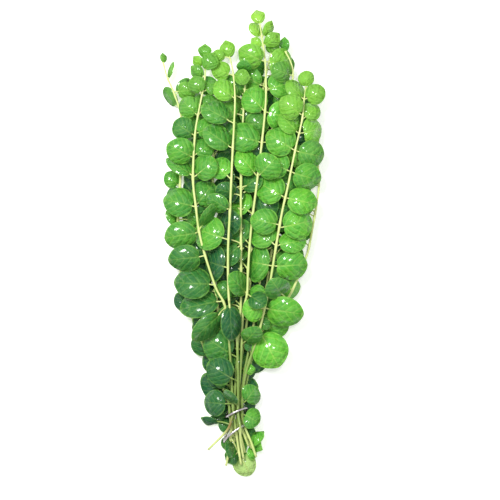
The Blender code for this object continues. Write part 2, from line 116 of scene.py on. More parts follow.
# Each sprig: stations of its stem from cut end to tip (x, y, height), then its leaves, each as
# (y of its joint, x and y of its middle, size across its midrib, size along it).
SPRIGS = {
    "sprig_centre_left": {
        "stem": [(243.5, 459, 3), (240.5, 440, 8.4), (240.3, 427, 11.2), (238.6, 418, 10),
                 (238, 409, 8.9), (238, 385, 9.4), (236.5, 335, 12), (229.5, 305, 14.5),
                 (228, 255, 16), (230, 210, 16.5), (232, 165, 16.5), (234, 125, 15.5),
                 (235, 98, 14), (233, 72, 11), (230, 58, 9)],
        "leaves": [(57, 219, 56, 10, 10), (58, 229, 54, 12, 12), (76, 221, 71, 18, 17),
                   (76, 240, 77, 12, 12), (99, 224, 91, 20, 21), (124, 215, 114, 22, 27),
                   (149, 217, 138, 22, 29), (180, 221, 169, 22, 20), (210, 219, 203, 17, 22),
                   (240, 211, 234, 32, 28), (268, 217, 264, 34, 17), (299, 230.5, 323, 18, 32),
                   (358, 219, 346, 31, 27), (382, 220, 371, 26, 26), (408, 231, 396, 11, 24)],
    },
    "sprig_right_front": {
        "stem": [(256, 457, 4), (251, 442, 6.2), (244, 425, 6.4), (242, 410, 7.1), (244, 382, 8),
                 (249, 362, 9), (255, 345, 9.5), (260, 328, 10), (269, 288, 12.5),
                 (276, 246, 15), (282, 212, 16), (287, 190, 16), (295, 151, 15.5), (302, 120, 14),
                 (304, 100, 12), (306, 87, 10)],
        "leaves": [(90, 306, 79, 15, 15), (100, 296, 92, 16, 21), (100, 314, 95, 19, 19),
                   (116, 291, 107, 23, 23), (120, 311, 112, 18, 16), (134, 289, 124, 19, 23),
                   (134, 311, 131, 24, 20), (151, 284, 144, 28, 27), (151, 309, 154, 27, 23),
                   (172, 283, 168, 25, 23), (172, 305, 176, 27, 25), (198, 271, 190, 28, 27),
                   (198, 299, 201, 25, 27), (225, 266, 222, 24, 25), (228, 297, 224, 29, 28),
                   (246, 264, 236, 26, 24), (246, 292, 243, 20, 25), (266, 263, 264, 35, 19),
                   (266, 291, 265, 27, 29), (290, 261, 294, 20, 17), (288, 287, 287, 24, 23),
                   (308, 284, 311, 27, 34), (308, 253, 310, 22, 17), (330, 270, 350, 34, 34),
                   (362, 250, 369, 8, 8), (405, 250, 394, 26, 17), (414, 249.5, 418, 22, 12)],
    },
    "sprig_centre": {
        "stem": [(248.5, 446, 4.4), (244.5, 436, 6.4), (239.5, 424, 7.1), (238, 410, 7.1),
                 (241, 360, 8.5), (243, 313, 10), (247, 294, 11), (248, 270, 11.8), (251, 230, 12.5),
                 (256, 190, 13), (261, 150, 13), (265, 112, 13), (266, 88, 12.5), (265, 60, 11),
                 (262, 38, 9.5), (260, 25, 9)],
        "leaves": [(25, 259, 21, 11, 10), (38, 256, 31, 11, 15), (38, 267, 29, 8, 12),
                   (46, 271, 40, 11, 13), (48, 257, 43, 8, 9), (62, 252, 56, 23, 24),
                   (62, 277, 62, 26, 24), (88, 250, 78, 23, 25), (90, 276, 87, 25, 22),
                   (112, 256, 102, 25, 24), (112, 277, 115, 26, 22), (143, 248, 139, 27, 29),
                   (143, 274, 141, 26, 22), (177, 246, 163, 21, 26), (177, 268, 166, 27, 21),
                   (215, 242, 205, 25, 18), (245, 239, 232, 26, 23), (270, 239, 258, 19, 11),
                   (294, 237, 284, 21, 26), (294, 258, 301, 22, 20), (345, 252, 334, 19, 22)],
    },
    "sprig_left_front": {
        "stem": [(208, 450, 2), (222, 436, 7), (228.5, 428, 8.9), (231.5, 419, 9.1),
                 (233, 410, 8.9), (231.5, 380, 9.6), (229, 340, 10.5), (225, 306, 11.5),
                 (216, 288, 12), (205, 255, 12.5), (199, 231, 12.8), (196, 207, 13),
                 (193, 178, 13), (195, 136, 12.5), (198, 116, 12), (202, 95, 11), (205, 77, 9.5),
                 (205, 62, 8.5)],
        "leaves": [(62, 205, 52, 10, 10), (66, 199, 61, 8, 9), (70, 208, 65, 13, 13),
                   (78, 198, 72, 10, 11), (95, 197, 85, 16, 16), (92, 212, 88, 15, 14),
                   (116, 190, 108, 20, 19), (116, 209, 103, 15, 15), (136, 186, 130, 21, 21),
                   (134, 206, 129, 20, 18), (158, 181, 151, 25, 25), (156, 204, 149, 20, 19),
                   (176, 180, 168, 14, 27), (178, 206, 168, 23, 24), (207, 179, 203, 27, 28),
                   (206, 205, 194, 25, 23), (232, 181, 235, 26, 29), (231, 207, 215, 12, 26),
                   (256, 185, 258, 25, 29), (285, 193, 284, 30, 34), (301, 200, 306, 24, 36),
                   (308, 206, 326, 20, 34), (404, 216, 403, 25, 19)],
    },
    "sprig_far_left": {
        "stem": [(226, 466, 2.5), (229.5, 448, 4.5), (231, 430, 6.6), (230, 417, 7.1),
                 (228, 400, 7), (220, 382, 6.5), (211, 361, 6), (203, 345, 6), (194, 322, 5.5),
                 (187, 300, 5), (181, 275, 5), (178, 240, 5), (178, 215, 5), (180, 187, 5.5),
                 (181, 150, 6), (181, 116, 6.5), (175, 96, 6.5), (171, 86, 6.5), (167, 77, 6.5),
                 (163, 62, 6.5)],
        "leaves": [(64, 163, 59, 5, 7), (80, 171, 71, 5, 15), (109, 171, 96, 10, 20),
                   (96, 183, 86, 12, 17), (118, 191, 96, 14, 19), (187, 174, 192, 10, 14),
                   (228, 172, 219, 9, 17), (250, 190, 240, 24, 24), (312, 183, 302, 17, 19),
                   (358, 203, 344, 22, 22), (322, 205, 312, 24, 25), (403, 214, 387, 25, 34),
                   (436, 229, 449, 9, 20), (425, 210, 420, 6, 12)],
    },
    "sprig_right_edge": {
        "stem": [(252, 449, 1.8), (246, 438, 3.4), (241.5, 425, 4.9), (241.5, 410, 4.9),
                 (247, 380, 5.5), (254, 350, 6), (261, 332, 6), (272, 316, 6.5), (288, 298, 7),
                 (297, 280, 7.5), (305, 260, 8), (309, 247, 8), (314.5, 217, 8.5),
                 (319, 186, 8.5), (318, 165, 8.5), (317, 143, 8.5)],
        "leaves": [(148, 312, 139, 14, 16), (166, 305, 160, 22, 22), (186, 301, 184, 24, 23),
                   (217, 301, 208, 26, 24), (247, 298, 233, 25, 24), (268, 290, 256, 26, 24),
                   (300, 276, 286, 24, 24), (358, 249, 346, 18, 18)],
    },
    "sprig_behind_centre": {
        "stem": [(241, 465, 2.4), (238, 445, 4.4), (235.5, 428, 6.4), (234, 410, 7.1),
                 (236.5, 370, 8), (239, 330, 8.5), (241, 300, 9), (241, 245, 9.5),
                 (241, 180, 9.5), (243, 120, 9), (246, 72, 8)],
        "leaves": [(74, 245, 66, 11, 13), (96, 236, 86, 19, 22), (126, 250, 116, 22, 22),
                   (150, 228, 152, 26, 26), (186, 228, 190, 26, 26), (190, 252, 182, 22, 22),
                   (245, 231, 254, 24, 24), (306, 228, 292, 24, 24), (372, 226, 362, 20, 22)],
    },
    "sprig_behind_right": {
        "stem": [(245, 453, 2), (241, 437, 3.8), (237.5, 426, 4.8), (238, 410, 4.9),
                 (245, 370, 5.5), (256, 310, 6), (263, 250, 6.5), (264, 208, 7),
                 (267, 170, 7), (272, 130, 7), (277, 108, 7)],
        "leaves": [(112, 282, 100, 16, 18), (132, 284, 124, 22, 22), (160, 256, 154, 26, 26),
                   (175, 284, 184, 26, 26), (208, 250, 216, 26, 26), (212, 280, 218, 26, 26),
                   (256, 280, 250, 26, 26), (262, 248, 262, 24, 26), (316, 264, 324, 16, 18)],
    },
    "sprig_behind_left": {
        "stem": [(233, 437, 3.8), (232.5, 430, 4.4), (234, 410, 4.9), (229, 375, 5.5),
                 (221, 330, 6), (214, 275, 6.5), (213, 220, 6.5), (213, 170, 6.5),
                 (214, 130, 6.5), (217, 90, 6)],
        "leaves": [(94, 211, 88, 17, 18), (112, 228, 106, 24, 24), (130, 199, 127, 22, 22),
                   (158, 229, 133, 26, 27), (172, 198, 178, 26, 26), (200, 229, 176, 26, 28),
                   (215, 196, 214, 26, 26), (226, 230, 222, 26, 26), (250, 198, 250, 28, 28),
                   (282, 228, 270, 26, 28), (300, 204, 293, 26, 26), (340, 238, 334, 22, 22),
                   (432, 226, 427, 12, 22)],
    },
    "sprig_small_leaf": {
        "stem": [(239, 448, 1.7), (237.2, 430, 2.6), (238.2, 410, 2.7), (247, 370, 3.6),
                 (262, 310, 4.2), (272, 250, 4.4), (279, 190, 4.6), (285, 140, 5.2), (290, 100, 6),
                 (293, 76, 7), (291, 63, 7.5), (285, 51, 7.5)],
        "leaves": [(54, 285.5, 45, 8, 10), (76, 285, 73, 18, 21), (150, 299, 136, 22, 22),
                   (150, 270, 140, 26, 26), (196, 293, 204, 28, 28), (240, 258, 232, 28, 28),
                   (262, 290, 238, 26, 28), (290, 280, 284, 26, 26), (310, 248, 298, 28, 28),
                   (352, 240, 365, 20, 22)],
    },
    "sprig_behind_tallest": {
        "stem": [(234.6, 442, 2.5), (233.6, 430, 2.6), (234.2, 410, 2.7), (240, 370, 3.6),
                 (248, 310, 4.2), (252, 250, 4.4), (256, 190, 4.8), (259, 120, 6), (265, 80, 7),
                 (271, 54, 7.5)],
        "leaves": [(56, 273, 47, 14, 14), (86, 281, 96, 18, 22),
                   (152, 262, 178, 26, 28), (186, 238, 196, 28, 28), (225, 266, 206, 24, 26),
                   (250, 236, 240, 28, 28), (290, 234, 284, 28, 28), (320, 228, 318, 28, 28)],
    },
}
CUT_END_LEAF = ("sprig_far_left", 438, 244.5, 464.5, 22, 22)
CRUMPLED_LEAF = ("sprig_right_front", 447, 256.5, 442, 8, 13)
# Limp leaves, all but the first one near the tie and the cut ends, each as (sprig, y of its joint,
# x and y of its middle, size across, size along, height of its base in millimetres, how it leans
# along and across in degrees, tone).
LIMP_LEAVES = [
    ("sprig_far_left", 187, 172, 179, 17, 15, 2.5, 0, 10, 0.6),
    ("sprig_behind_left", 415, 217, 419, 7, 16, 2.2, 4, 10, 0.1),
    ("sprig_behind_left", 428, 225.5, 425, 15, 10, 2.6, 0, 15, 0.15),
    ("sprig_behind_centre", 436, 228, 444, 15, 11, 1.5, 5, -20, 0.2),
    ("sprig_behind_centre", 452, 232, 458, 12, 8, 0.9, 0, 12, 0.15),
    ("sprig_behind_centre", 430, 237, 441, 14, 26, 1.2, 0, 5, 0.45),
    ("sprig_behind_right", 424, 247.5, 434, 15, 19, 1.3, 4, 10, 0.25),
    ("sprig_behind_right", 415, 248, 423, 13, 14, 2.8, 5, -10, 0.5),
    ("sprig_right_edge", 436, 255, 444, 11, 13, 2.2, 25, 30, 0.9),
    ("sprig_right_edge", 446, 251, 452, 7, 10, 1.6, 10, -25, 1.0),
]

FRONT = ("sprig_centre_left", "sprig_right_front", "sprig_centre", "sprig_left_front",
         "sprig_far_left")
# The sprigs that get more leaves than the solids have.
BACK = [name for name in SPRIGS if name not in FRONT] + ["sprig_far_left"]

# How light the leaves of a sprig are, from 0 to 1, and how far one leaf may differ.
# The sprigs behind are set darker, as painted shade for lying deep in the bunch.
TONES = {"sprig_centre_left": 0.62, "sprig_right_front": 0.66, "sprig_centre": 0.8,
         "sprig_left_front": 0.42, "sprig_far_left": 0.36, "sprig_right_edge": 0.5,
         "sprig_behind_centre": 0.15, "sprig_behind_right": 0.15, "sprig_behind_left": 0.15,
         "sprig_small_leaf": 0.2, "sprig_behind_tallest": 0.1}
TONE_PLAY = 0.24
# Where along a sprig its leaves turn darker or lighter, where that ends, and by how much.
SHADES = {"sprig_left_front": (275, 430, -0.45), "sprig_centre_left": (235, 430, -0.5),
          "sprig_far_left": (250, 430, -0.4), "sprig_centre": (215, 430, -0.5),
          "sprig_behind_left": (250, 430, -0.4), "sprig_right_front": (275, 385, 0.42)}
SHADE_RISE = 40
SHADE_FALL = 12
YOUNGEST = 0.15
YOUNG_LENGTH = 45 * MM

# How the fine leaves differ from the plain ones: least and most of each.
FLATTER = (-0.35, 0.15)
FOLD = (-0.01, 0.07)
GROWN_TAPER = (-0.08, 0.14)
GROWN_POINT = 0.05
RIM_WAVES = (2, 3, 5)
RIM_WAVE = 0.06
RIM_WAVE_SHARE = (0.2, 1)
TIP_LEAF_GAIN = 1.3
TIP_TAPER = -0.25
TIP_POINT = 0.3
TIP_FOLD = (0.1, 0.25)

# The brown bruise on the stem of the left front sprig, where the wire crosses it.
BRUISED = "sprig_left_front"
BRUISE_PLACE = (231, 426, 9)
BRUISE_REACH = 4 * MM

# The outline that hidden leaves stay inside: grid line, left and right.
REACH = [(60, 195, 290), (80, 180, 312), (100, 170, 318), (160, 168, 318), (200, 166, 312),
         (250, 170, 306), (300, 176, 298), (330, 191, 290), (352, 196, 284), (370, 203, 264),
         (410, 206, 256)]
LEAFLESS_TIP = 8 * MM

# Leaves that fill the sprigs behind: the grid lines of their joints, how far they lie from the stem
# and up along it, and how big they are.
FILL_LINES = range(68, 406, 8)
FILL_AWAY = (13, 17)
FILL_UP = (0, 9)
FILL_SIZE = 26
FILL_SHARE = (0.8, 1.1)
# Their trials are fewer: only lifts and tilts below these, in radians, and every third of them.
FILL_LIFT = 0.6
FILL_TILT = 0.3
FILL_EVERY = 3

# The flat leaves under all the others, darkened as painted shade for lying beneath them.
BED_LINES = range(70, 415, 20)
BED_AWAY = (9, 16)
BED_UP = (0, 8)
BED_SIZE = 24
BED_SHARE = (0.75, 1)
BED_HEIGHT = (0.7 * MM, 1.6 * MM)
BED_PAINTED_SHADE = -0.5

# The wire: two turns, each crossing over the stems up to the right. Sizes are in grid squares and
# heights in millimetres, each with how much it changes from one turn to the next.
WIRE_START = -0.22
WIRE_END = 1.86
WIRE_STEPS = 30
FINE_WIRE_STEPS = 110
FINE_WIRE_SIDES = 12
FINE_WIRE = 0.62 * MM
WIRE_X = 236
WIRE_Y, WIRE_Y_STEP = 409, 20
WIRE_HALF_WIDE, WIRE_WIDE_STEP = 9.7, 2.3
WIRE_HALF_HIGH, WIRE_HIGH_STEP = 5.4, -0.8
WIRE_SLANT, WIRE_SLANT_STEP = 8, 5
WIRE_SLANT_CURVE = 1.3
WIRE_OVER_TABLE = 0.62


def spot(x, y, height=0.0):
    return Vector(((x - MIDDLE_X) * SQUARE, (MIDDLE_Y - y) * SQUARE, height * MM))


def smooth_line(stations, parts):
    """An even line through the stations, with so many parts between two of them."""
    marks = [spot(*station) for station in stations]
    marks = [2 * marks[0] - marks[1]] + marks + [2 * marks[-1] - marks[-2]]
    line = []
    for a, b, c, d in zip(marks, marks[1:], marks[2:], marks[3:]):
        for k in range(parts):
            t = k / parts
            line.append(0.5 * (2 * b + (c - a) * t + (2 * a - 5 * b + 4 * c - d) * t * t
                               + (3 * b - a - 3 * c + d) * t ** 3))
    return line + [marks[-2]]


def stem_share(line, place):
    """How thick the stem is at a place, as a share of its full thickness."""
    from_tip = (line[-1] - place).length / SQUARE
    return STEM_TIP_SHARE + (1 - STEM_TIP_SHARE) * min(1.0, from_tip / STEM_TAPER)


def trial_tube(name, line, radius, shares, roundness):
    curve = bpy.data.curves.new(name, "CURVE")
    curve.dimensions = "3D"
    curve.bevel_depth = radius
    curve.bevel_resolution = roundness
    curve.use_fill_caps = True
    spline = curve.splines.new("POLY")
    spline.points.add(len(line) - 1)
    for point, place, share in zip(spline.points, line, shares):
        point.co = (*place, 1)
        point.radius = share
    holder = bpy.data.objects.new(name, curve)
    bpy.context.scene.collection.objects.link(holder)
    depsgraph = bpy.context.evaluated_depsgraph_get()
    mesh = bpy.data.meshes.new_from_object(holder.evaluated_get(depsgraph))
    bpy.data.objects.remove(holder)
    mesh.name = name
    return mesh


def joint_at(line, y):
    """The place on a stem at a grid line, and the stem's direction there."""
    level = (MIDDLE_Y - y) * SQUARE
    for low, high in zip(line, line[1:]):
        if min(low.y, high.y) <= level <= max(low.y, high.y):
            share = (level - low.y) / (high.y - low.y)
            return low.lerp(high, share), (high - low).normalized()
    return line[-1].copy(), (line[-1] - line[-2]).normalized()


class Leaf:
    """One leaf: where it joins its stem, where its middle lies and how it is tilted."""

    def __init__(self, line, row, front, dice):
        joint_y, x, y, across, along = row
        self.front = front and max(across, along) > SMALL_LEAF
        self.sides = BLADE_SIDES if front else BACK_SIDES
        self.start = 0 if front else math.pi / BACK_SIDES
        self.joint, _ = joint_at(line, joint_y)
        self.share = stem_share(line, self.joint)
        flat = spot(x, y) - self.joint
        flat.z = 0
        self.way = flat.normalized()
        self.side = Vector((-self.way.y, self.way.x, 0))
        self.reach = flat.length
        gain = SIZE_GAIN if max(across, along) > SMALL_LEAF else 1
        across *= SQUARE * gain
        along *= SQUARE * gain
        size = max(across, along)
        self.across = across * (size / across) ** TILTED_SHARE
        self.along = along * (size / along) ** TILTED_SHARE
        self.roll = math.acos(min(1.0, across / self.across)) * dice.choice((-1, 1))
        self.pitch = -math.acos(min(1.0, along / self.along))
        self.roll += math.radians(dice.uniform(*ROLL_PLAY))
        self.pitch += math.radians(dice.uniform(*PITCH_PLAY))
        self.dome = BLADE_DOME * dice.uniform(*DOME_PLAY)
        self.drop = math.radians(dice.uniform(*STALK_DROP))
        self.shrink = 1.0
        self.on_table = False
        self.in_bed = False
        self.tone = None

    def lay(self, lift=0.0, pitch=0.0, roll=0.0):
        """Fix the blade's middle and its three directions."""
        pitch += self.pitch
        roll += self.roll
        rise = self.drop + lift
        self.long = self.way * math.cos(pitch) + Vector((0, 0, math.sin(pitch)))
        up = self.long.cross(self.side)
        self.wide = self.side * math.cos(roll) + up * math.sin(roll)
        self.up = self.long.cross(self.wide)
        half = self.along * self.shrink / 2
        stalk = max(self.reach - half * math.cos(pitch), LEAST_STALK)
        self.base = self.joint + self.way * stalk + Vector((0, 0, stalk * math.tan(rise)))
        self.stalk = (self.base - self.joint).normalized()
        self.stalk_up = self.stalk.cross(self.side)
        self.middle = self.base + self.long * half + self.up * self.sag(-1, 0)

    def sag(self, s, t):
        """How far the blade falls below its middle, towards the rim."""
        return self.dome * self.across * self.shrink * (s * s + t * t) / 2

    def place(self, s, t, depth):
        """A point of the blade: s along and t across it from -1 to 1, depth below its face."""
        return (self.middle + self.long * (s * self.along * self.shrink / 2)
                + self.wide * (t * self.across * self.shrink / 2)
                - self.up * (self.sag(s, t) + depth))


def square_end(face, centre, wide, up, half):
    middle = face.calc_center_median()
    for vert in face.verts:
        away = vert.co - middle
        vert.co = (centre + wide * math.copysign(half, away.dot(wide))
                   + up * math.copysign(half, away.dot(up)))


def add_leaf(bm, leaf, extra=0.0, with_stalk=True):
    """A closed leaf with its stalk, thicker by extra all round when it is only a trial."""
    grow = BLADE_SPREAD + 2 * extra / (leaf.across * leaf.shrink)
    ring = bmesh.ops.create_circle(bm, cap_ends=True, segments=leaf.sides, radius=grow,
                                   matrix=Matrix.Rotation(leaf.start, 4, "Z"))["verts"]
    face = ring[0].link_faces[0]
    lower = bmesh.ops.extrude_face_region(bm, geom=[face], use_keep_orig=True)["geom"]
    lower = [item for item in lower if isinstance(item, bmesh.types.BMVert)]
    upper = list(ring) + bmesh.ops.poke(bm, faces=[face])["verts"]
    base = min((f for v in ring for f in v.link_faces if len(f.verts) == 4),
               key=lambda f: f.calc_center_median().y)
    for verts, depth in ((upper, -extra), (lower, BLADE_THICK + extra)):
        for vert in verts:
            vert.co = leaf.place(vert.co.y, vert.co.x, depth)
    if not with_stalk:
        return
    half = STALK_HALF * leaf.share + extra
    end = bmesh.ops.extrude_discrete_faces(bm, faces=[base])["faces"][0]
    if leaf.front:
        lead = min(LEAD_SHARE * (leaf.base - leaf.joint).length, LONGEST_LEAD)
        under = leaf.up * (BLADE_THICK / 2)
        square_end(end, leaf.base - under - leaf.stalk * lead, leaf.wide, leaf.up, half)
        end = bmesh.ops.extrude_discrete_faces(bm, faces=[end])["faces"][0]
    square_end(end, leaf.joint, leaf.side, leaf.stalk_up, half)


def leaf_mesh(leaves, extra=0.0, with_stalk=True):
    bm = bmesh.new()
    for leaf in leaves:
        add_leaf(bm, leaf, extra, with_stalk)
    bmesh.ops.recalc_face_normals(bm, faces=bm.faces)
    bmesh.ops.triangulate(bm, faces=bm.faces)
    return bm


class Block:
    """Something in a leaf's way: its surface, and the ground it covers."""

    def __init__(self, bm):
        self.tree = BVHTree.FromBMesh(bm)
        self.sides = [(min(along), max(along)) for along in
                      ([vert.co[k] for vert in bm.verts] for k in (0, 1))]
        bm.free()

    def near(self, leaf):
        reach = leaf.reach + leaf.along + leaf.across
        return all(low - reach < leaf.joint[k] < high + reach
                   for k, (low, high) in enumerate(self.sides))


def mesh_block(mesh):
    bm = bmesh.new()
    bm.from_mesh(mesh)
    return Block(bm)


def tilts():
    """Ways to turn a leaf from how it wants to lie, the smallest turns first."""
    turns = [(lift, pitch, roll)
             for lift in LIFTS
             for pitch in PITCHES
             for roll in ROLLS]
    turns.sort(key=lambda turn: (abs(turn[0]) * LIFT_COST + abs(turn[1]) + abs(turn[2]), turn))
    return [tuple(math.radians(angle) for angle in turn) for turn in turns]


def settle(leaf, others, own, turns):
    """Turn the leaf until it clears everything in its way; False if it never does."""
    others = [block.tree for block in others if block.near(leaf)]
    own = [block.tree for block in own if block.near(leaf)]
    for shrink in SHRINKS:
        leaf.shrink = shrink
        for turn in turns:
            leaf.lay(*turn)
            if leaf.up.dot(leaf.stalk_up) < LEAST_FACING:
                continue
            bm = leaf_mesh([leaf], CLEAR)
            low = min(vert.co.z for vert in bm.verts)
            trial = Block(bm).tree
            if low < CLEAR / 2 or any(trial.overlap(other) for other in others):
                continue
            blade = Block(leaf_mesh([leaf], CLEAR / 2, False)).tree
            if not any(blade.overlap(other) for other in own):
                return True
    return False


def wire_line(steps):
    line = []
    for step in range(steps + 1):
        turn = WIRE_START + (WIRE_END - WIRE_START) * step / steps
        angle = 2 * math.pi * turn
        half_wide = WIRE_HALF_WIDE + WIRE_WIDE_STEP * turn
        half_high = WIRE_HALF_HIGH + WIRE_HIGH_STEP * turn
        slant = WIRE_SLANT + WIRE_SLANT_STEP * turn
        line.append(spot(WIRE_X - half_wide * math.cos(angle),
                         WIRE_Y + WIRE_Y_STEP * turn
                         + slant * (1 - 2 * abs(math.sin(angle / 2)) ** WIRE_SLANT_CURVE),
                         half_high + WIRE_OVER_TABLE + half_high * math.sin(angle)))
    return line


def ring_frame(place, ahead, radius):
    """A frame for one ring of a tube: across, up and ahead, with the ring's radius as its scale."""
    ahead = ahead.normalized()
    side = ahead.cross(UP).normalized()
    turned = Matrix((side * radius, side.cross(ahead) * radius, ahead)).transposed()
    return Matrix.Translation(place) @ turned.to_4x4()


def mark_ring(verts, layer, bruise, place, radius):
    """Give a ring how bruised it is, and each of its corners how far it faces up."""
    for vert in verts:
        vert[layer] = (bruise, (vert.co.z - place.z) / radius, 0)


def add_tube(bm, line, radii, sides, bruises, slot):
    """A closed round tube through the places of a line, each ring with its radius and bruise."""
    aheads = [(b - a) for a, b in zip([line[0]] + line, line[1:] + [line[-1]])]
    frames = [ring_frame(*ring) for ring in zip(line, aheads, radii)]
    layer = bm.verts.layers.float_vector["tube_look"]
    made = bmesh.ops.create_cone(bm, cap_ends=True, segments=sides, radius1=1, radius2=1, depth=2)
    low = [vert for vert in made["verts"] if vert.co.z < 0]
    high = [vert for vert in made["verts"] if vert.co.z > 0]
    faces = {face for vert in made["verts"] for face in vert.link_faces}
    bmesh.ops.transform(bm, matrix=frames[0] @ Matrix.Translation(UP), verts=low)
    bmesh.ops.transform(bm, matrix=frames[1] @ Matrix.Translation(-UP), verts=high)
    for verts, step in ((low, 0), (high, 1)):
        mark_ring(verts, layer, bruises[step], line[step], radii[step])
    end = next(face for face in faces if all(vert in high for vert in face.verts))
    faces.discard(end)
    for step in range(2, len(line)):
        end = bmesh.ops.extrude_discrete_faces(bm, faces=[end])["faces"][0]
        move = frames[step] @ frames[step - 1].inverted()
        bmesh.ops.transform(bm, matrix=move, verts=end.verts)
        mark_ring(end.verts, layer, bruises[step], line[step], radii[step])
        for vert in end.verts:
            faces.update(vert.link_faces)
    for face in faces | {end}:
        if face.is_valid:
            face.material_index = slot


def wobble(leaf, s, t):
    """The uneven run of a leaf's rim, as a share of its width."""
    angle = math.atan2(t, s)
    waves = sum(size * math.sin(count * angle + turn) for count, size, turn in leaf.waves)
    return waves * math.hypot(s, t) ** 3


def outline(leaf, s, t):
    """A round leaf from a unit disc: broad below its middle, a blunt tip and a notch at its base."""
    swell = 1 + wobble(leaf, s, t)
    broad = t * (1 - leaf.taper * s) * swell
    tip = leaf.point * math.exp(-(t / POINT_HALF) ** 2) * max(0.0, s) ** 3
    notch = NOTCH * math.exp(-(t / NOTCH_HALF) ** 2) * max(0.0, -s) ** 4
    return s * swell + tip + notch, broad


def vein_phase(s, t):
    """Counts the side veins, which leave the midrib and arch towards the tip."""
    return (s - VEIN_LEAN * abs(t) - VEIN_ARCH * t * t) * SIDE_VEINS


def relief(leaf, s, t):
    """How far the fine face stands over the plain blade, as a share of its width."""
    radius = math.hypot(s, t)
    between = 0.5 - 0.5 * math.cos(2 * math.pi * vein_phase(s, t))
    quilt = QUILT * between * (1 - radius ** 4)
    groove = GROOVE * math.exp(-(t / GROOVE_HALF) ** 2) * (1 - 0.5 * abs(s))
    return quilt - groove + leaf.fold * abs(t) + wobble(leaf, s, t)


def add_blade(bm, leaf):
    """One fine leaf blade: a ringed disc, its underside pushed out of it, both bent to the leaf."""
    place_layer = bm.verts.layers.float_vector["leaf_place"]
    look_layer = bm.verts.layers.float_vector["leaf_look"]
    made = bmesh.ops.create_circle(bm, cap_ends=True, segments=RIM_SIDES, radius=1)
    face = made["verts"][0].link_faces[0]
    top = []
    for ring in range(RINGS):
        width = (1 - RIM_BAND) / RINGS if ring else RIM_BAND
        top += bmesh.ops.inset_region(bm, faces=[face], thickness=width)["faces"]
    top += bmesh.ops.poke(bm, faces=[face])["faces"]
    upper = {vert for face in top for vert in face.verts}
    pushed = bmesh.ops.extrude_face_region(bm, geom=top, use_keep_orig=True)["geom"]
    lower = {item for item in pushed if isinstance(item, bmesh.types.BMVert)}
    for verts, under in ((upper, 0), (lower, 1)):
        for vert in verts:
            s, t = outline(leaf, vert.co.y, vert.co.x)
            thick = LEAF_THICK * (1 - 0.5 * min(1.0, s * s + t * t))
            vert[place_layer] = (s, t, under)
            vert[look_layer] = leaf.look
            rise = relief(leaf, s, t) * leaf.across * leaf.shrink
            vert.co = leaf.place(s, t, under * thick - rise)


def add_stalk(bm, leaf, line):
    """The leaf stalk, from inside the stem to the blade, running on along it as its midrib.

    The midrib lies under the blade, and on top where the leaf lies on the table face down.
    """
    root, ahead = joint_at(line, MIDDLE_Y - leaf.joint.y / SQUARE)
    reach = (leaf.base - root).length
    pull = root + leaf.way * reach * STALK_BOW + ahead * reach * STALK_FORWARD
    before_blade = leaf.base - leaf.long * reach * STALK_STRAIGHT
    places = []
    for step in range(STALK_PARTS):
        k = step / STALK_PARTS
        places.append(root * (1 - k) ** 3 + pull * 3 * k * (1 - k) ** 2
                      + before_blade * 3 * k * k * (1 - k) + leaf.base * k ** 3)
    under = -0.5 * STALK_HALF if leaf.on_table else 0.5 * STALK_HALF + LEAF_THICK / 2
    for s in (*MIDRIB_START, MIDRIB_END_ON_TABLE if leaf.on_table else MIDRIB_END):
        rise = relief(leaf, s, 0) * leaf.across * leaf.shrink
        places.append(leaf.place(s, 0, under - rise))
    thick = STALK_HALF * (1.2 if leaf.on_table else 0.55 + 0.45 * leaf.share)
    radii = [thick * size for size in STALK_RINGS]
    add_tube(bm, places, radii, STALK_SIDES, [0] * len(places), 1)


def knot_share(place, joints):
    near = min((place - joint).length for joint in joints)
    return 1 + KNOT_SWELL * math.exp(-(near / KNOT_REACH) ** 2)


def add_stem(bm, name, line, leaves):
    joints = [leaf.joint for leaf in leaves] + [line[-1]]
    radii = [FINE_STEM * STEM_RADIUS * stem_share(line, place) * knot_share(place, joints)
             for place in line]
    bruises = [0] * len(line)
    if name == BRUISED:
        middle = spot(*BRUISE_PLACE)
        bruises = [math.exp(-((place - middle).length / BRUISE_REACH) ** 2) for place in line]
    add_tube(bm, line, radii, STEM_SIDES, bruises, 1)


def sprig_piece(name, line, leaves):
    """A whole sprig as one piece: stem, stalks and blades."""
    bm = bmesh.new()
    for layer in ("tube_look", "leaf_place", "leaf_look"):
        bm.verts.layers.float_vector.new(layer)
    for leaf in leaves:
        add_blade(bm, leaf)
    for leaf in leaves:
        add_stalk(bm, leaf, line)
    add_stem(bm, name, line, leaves)
    bmesh.ops.recalc_face_normals(bm, faces=bm.faces)
    return piece_from(bm, name + "_fine", [leaf_green(), stem_green()])


def piece_from(bm, name, materials):
    mesh = bpy.data.meshes.new(name)
    for face in bm.faces:
        face.smooth = True
    bm.to_mesh(mesh)
    bm.free()
    for made in materials:
        mesh.materials.append(made)
    piece = bpy.data.objects.new(name, mesh)
    bpy.context.scene.collection.objects.link(piece)
    return piece


class Socket:
    """One socket of a material, so that shader maths reads as sums."""

    def __init__(self, board, socket):
        self.board = board
        self.socket = socket

    def math(self, operation, *values, clamp=False):
        settings = {"operation": operation, "use_clamp": clamp}
        return self.board.node("ShaderNodeMath", settings, dict(enumerate((self, *values))))

    def __add__(self, other):
        return self.math("ADD", other)

    __radd__ = __add__

    def __sub__(self, other):
        return self.math("SUBTRACT", other)

    def __rsub__(self, other):
        return self.board.number(other).math("SUBTRACT", self)

    def __mul__(self, other):
        return self.math("MULTIPLY", other)

    __rmul__ = __mul__

    def __truediv__(self, other):
        return self.math("DIVIDE", other)

    def __pow__(self, other):
        return self.math("POWER", other)

    def __abs__(self):
        return self.math("ABSOLUTE")

    def clamped(self):
        return self.math("ADD", 0, clamp=True)

    def wave(self, length):
        """0 at each whole length and 1 half way between."""
        return self.math("PINGPONG", length / 2) / (length / 2)

    def larger(self, other):
        return self.math("MAXIMUM", other)


